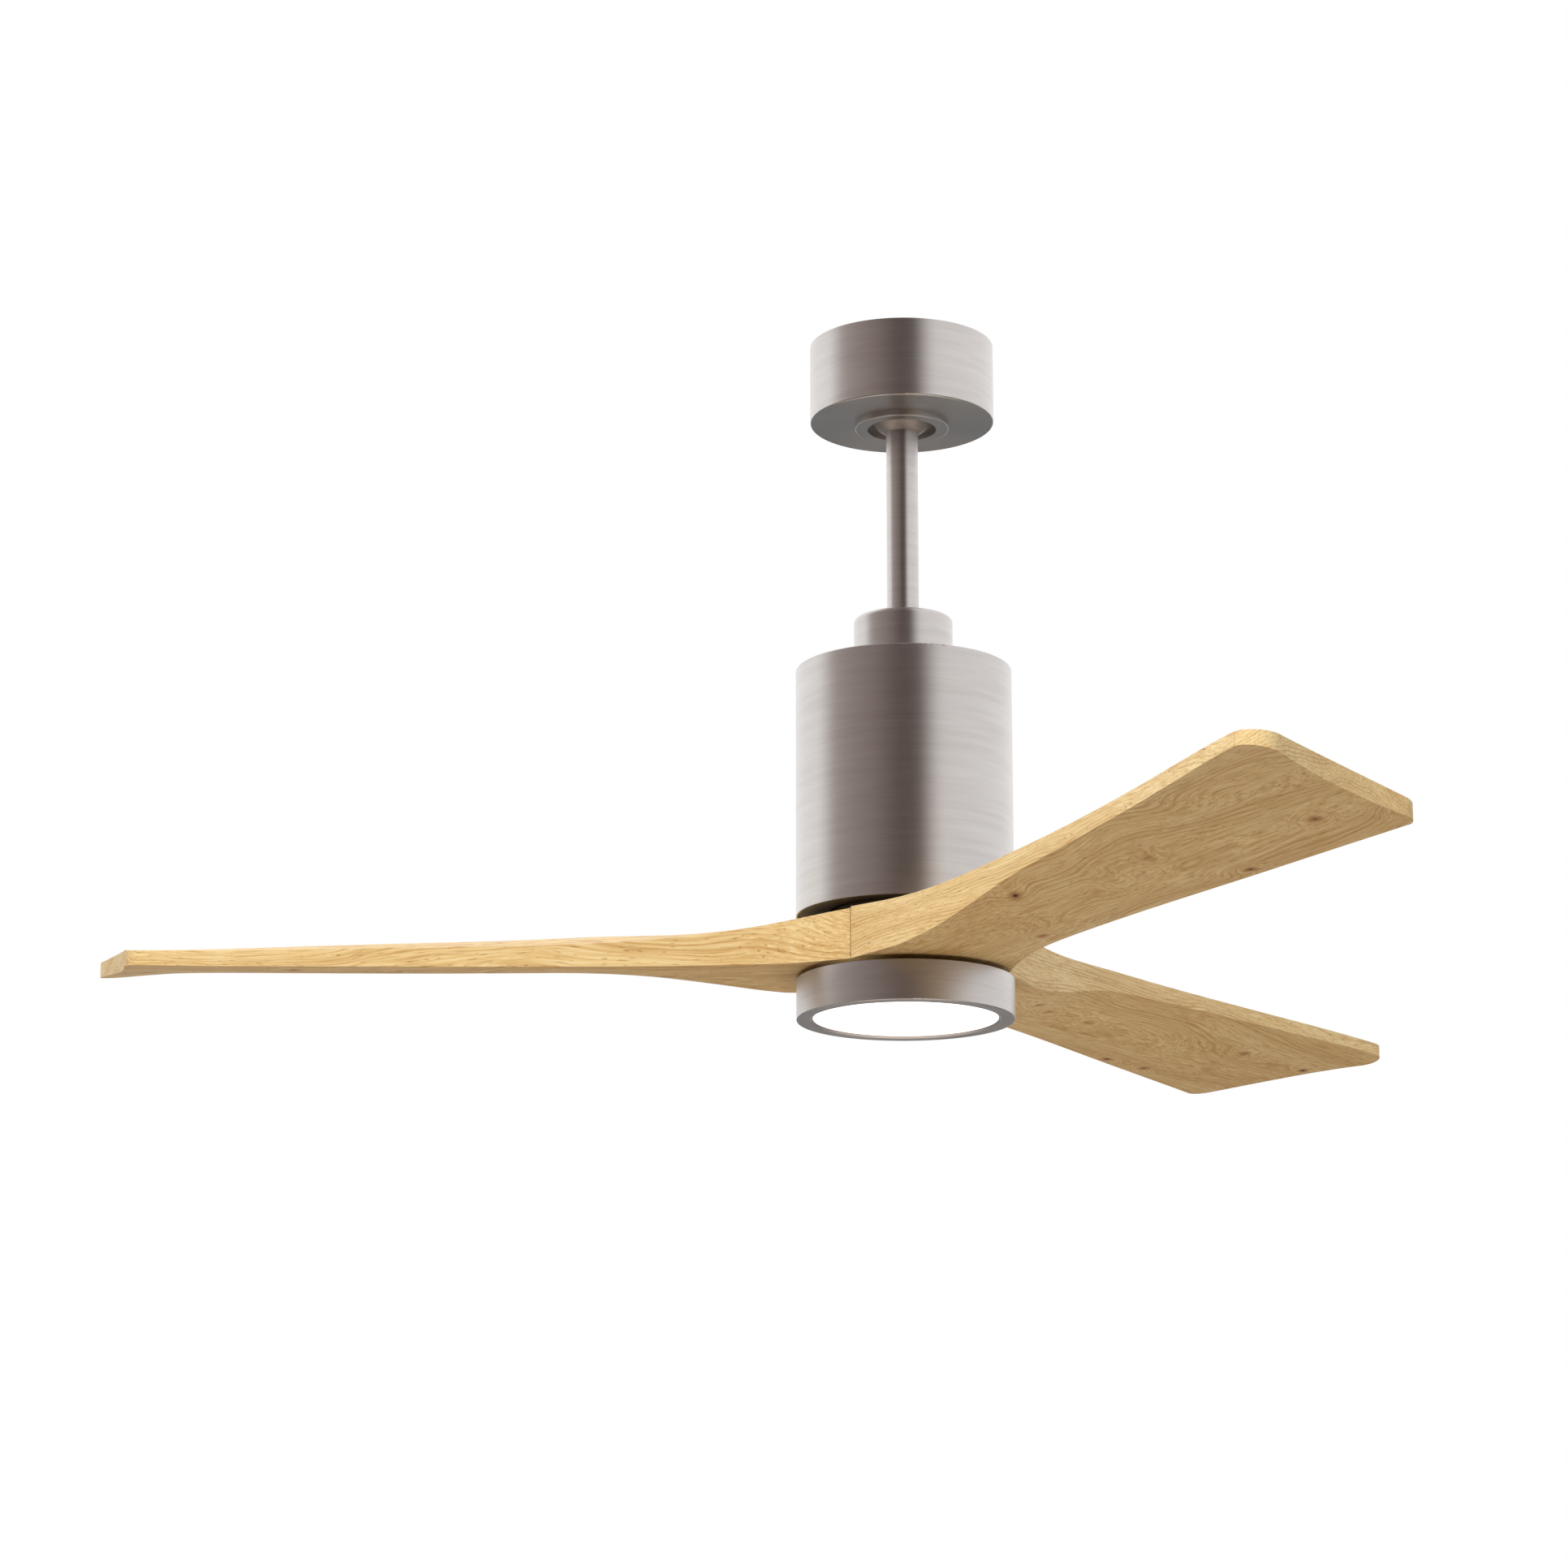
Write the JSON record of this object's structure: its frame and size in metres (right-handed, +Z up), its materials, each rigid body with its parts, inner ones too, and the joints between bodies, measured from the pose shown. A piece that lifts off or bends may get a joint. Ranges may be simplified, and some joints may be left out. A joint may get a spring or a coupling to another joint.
{
  "type": "ceiling fan with light",
  "caption": "Ceiling fan hung on a down rod: drum motor housing over carved twisted wood blades, flat round light below, plain cylindrical canopy above.",
  "frame": {"origin": "on the ceiling plane, on the fan's axis, at the middle of the hanger bracket's top plate and of its two outlet-box screw holes", "axes": "+Z up into the ceiling along the fan's axis; X along the line of the two outlet-box screw holes; the bracket's open side faces +Y"},
  "size_m": [1.0787, 1.1565, 0.5516],
  "materials": {
    "pewter_metal": "brushed, warm grey plate under clear lacquer",
    "ball_plastic": "moulded grey nylon",
    "carved_wood": "light hardwood, satin clear coat",
    "opal_lens": "opal diffuser, glowing white",
    "dark_paint": "dark grey paint, satin",
    "zinc_steel": "bright zinc plate",
    "bearing_steel": "ground steel",
    "cast_metal": "as cast, fine grain",
    "lamination_steel": "stacked laminations",
    "copper_wire": "enamelled copper",
    "magnet_grey": "sintered, nickel dip",
    "white_enamel": "white reflector paint",
    "board_green": "solder mask",
    "board_white": "white solder mask on metal core",
    "component_black": "moulded black plastic",
    "spacer_brass": "turned brass",
    "terminal_white": "moulded off-white plastic",
    "led_yellow": "phosphor caps",
    "cable_grey": "sheathed cable"
  },
  "bodies": {
    "mount": {"hanger_bracket": "zinc_steel", "canopy": "pewter_metal", "canopy_ring": "pewter_metal", "canopy_screws": "zinc_steel", "receiver_module": "component_black", "terminal_block": "terminal_white", "ground_screw": "zinc_steel"},
    "hanger": {"hanger_ball": "ball_plastic", "ball_pin": "zinc_steel", "downrod": "pewter_metal", "yoke": "cast_metal", "yoke_pin": "zinc_steel", "pin_clip": "zinc_steel", "yoke_set_screws": "zinc_steel", "yoke_bolts": "zinc_steel", "yoke_cover": "pewter_metal", "housing_shell": "pewter_metal", "bottom_cover": "dark_paint", "motor_mount": "cast_metal", "motor_shaft": "bearing_steel", "controller_board": "board_green", "board_standoffs": "spacer_brass", "board_components": "component_black", "stator_core": "lamination_steel", "stator_windings": "copper_wire", "upper_bearing_inner": "bearing_steel", "lower_bearing_inner": "bearing_steel", "light_adapter": "zinc_steel", "shaft_nut": "zinc_steel", "light_pan": "white_enamel", "pan_screws": "zinc_steel", "light_ring": "pewter_metal", "light_lens": "opal_lens", "led_board": "board_white", "led_standoffs": "spacer_brass", "led_chips": "led_yellow", "led_driver": "component_black", "supply_cable": "cable_grey", "light_cable": "cable_grey"},
    "bearing_balls": {"upper_bearing_balls": "bearing_steel", "lower_bearing_balls": "bearing_steel"},
    "rotor": {"rotor_bell": "bearing_steel", "rotor_hub": "cast_metal", "rotor_screws": "zinc_steel", "rotor_magnets": "magnet_grey", "upper_bearing_outer": "bearing_steel", "lower_bearing_outer": "bearing_steel", "blade_1": "carved_wood", "blade_2": "carved_wood", "blade_3": "carved_wood", "blade_clamp_plate": "dark_paint", "blade_screws": "zinc_steel"}
  },
  "joints": [
    {"name": "ball_tilt", "type": "hinge", "parent": "mount", "child": "hanger", "pos_m": [0, 0, -0.044], "axis": [0, 1, 0], "range_deg": [-20, 20]},
    {"name": "rotor_spin", "type": "hinge", "parent": "hanger", "child": "rotor", "pos_m": [0, 0, -0.45], "axis": [0, 0, 1], "continuous": true},
    {"name": "ball_row_turn", "type": "hinge", "parent": "hanger", "child": "bearing_balls", "pos_m": [0, 0, -0.38], "axis": [0, 0, 1], "continuous": true}
  ],
  "couplings": [
    {"joint": "ball_row_turn", "follows": "rotor_spin", "ratio": 0.6}
  ]
}
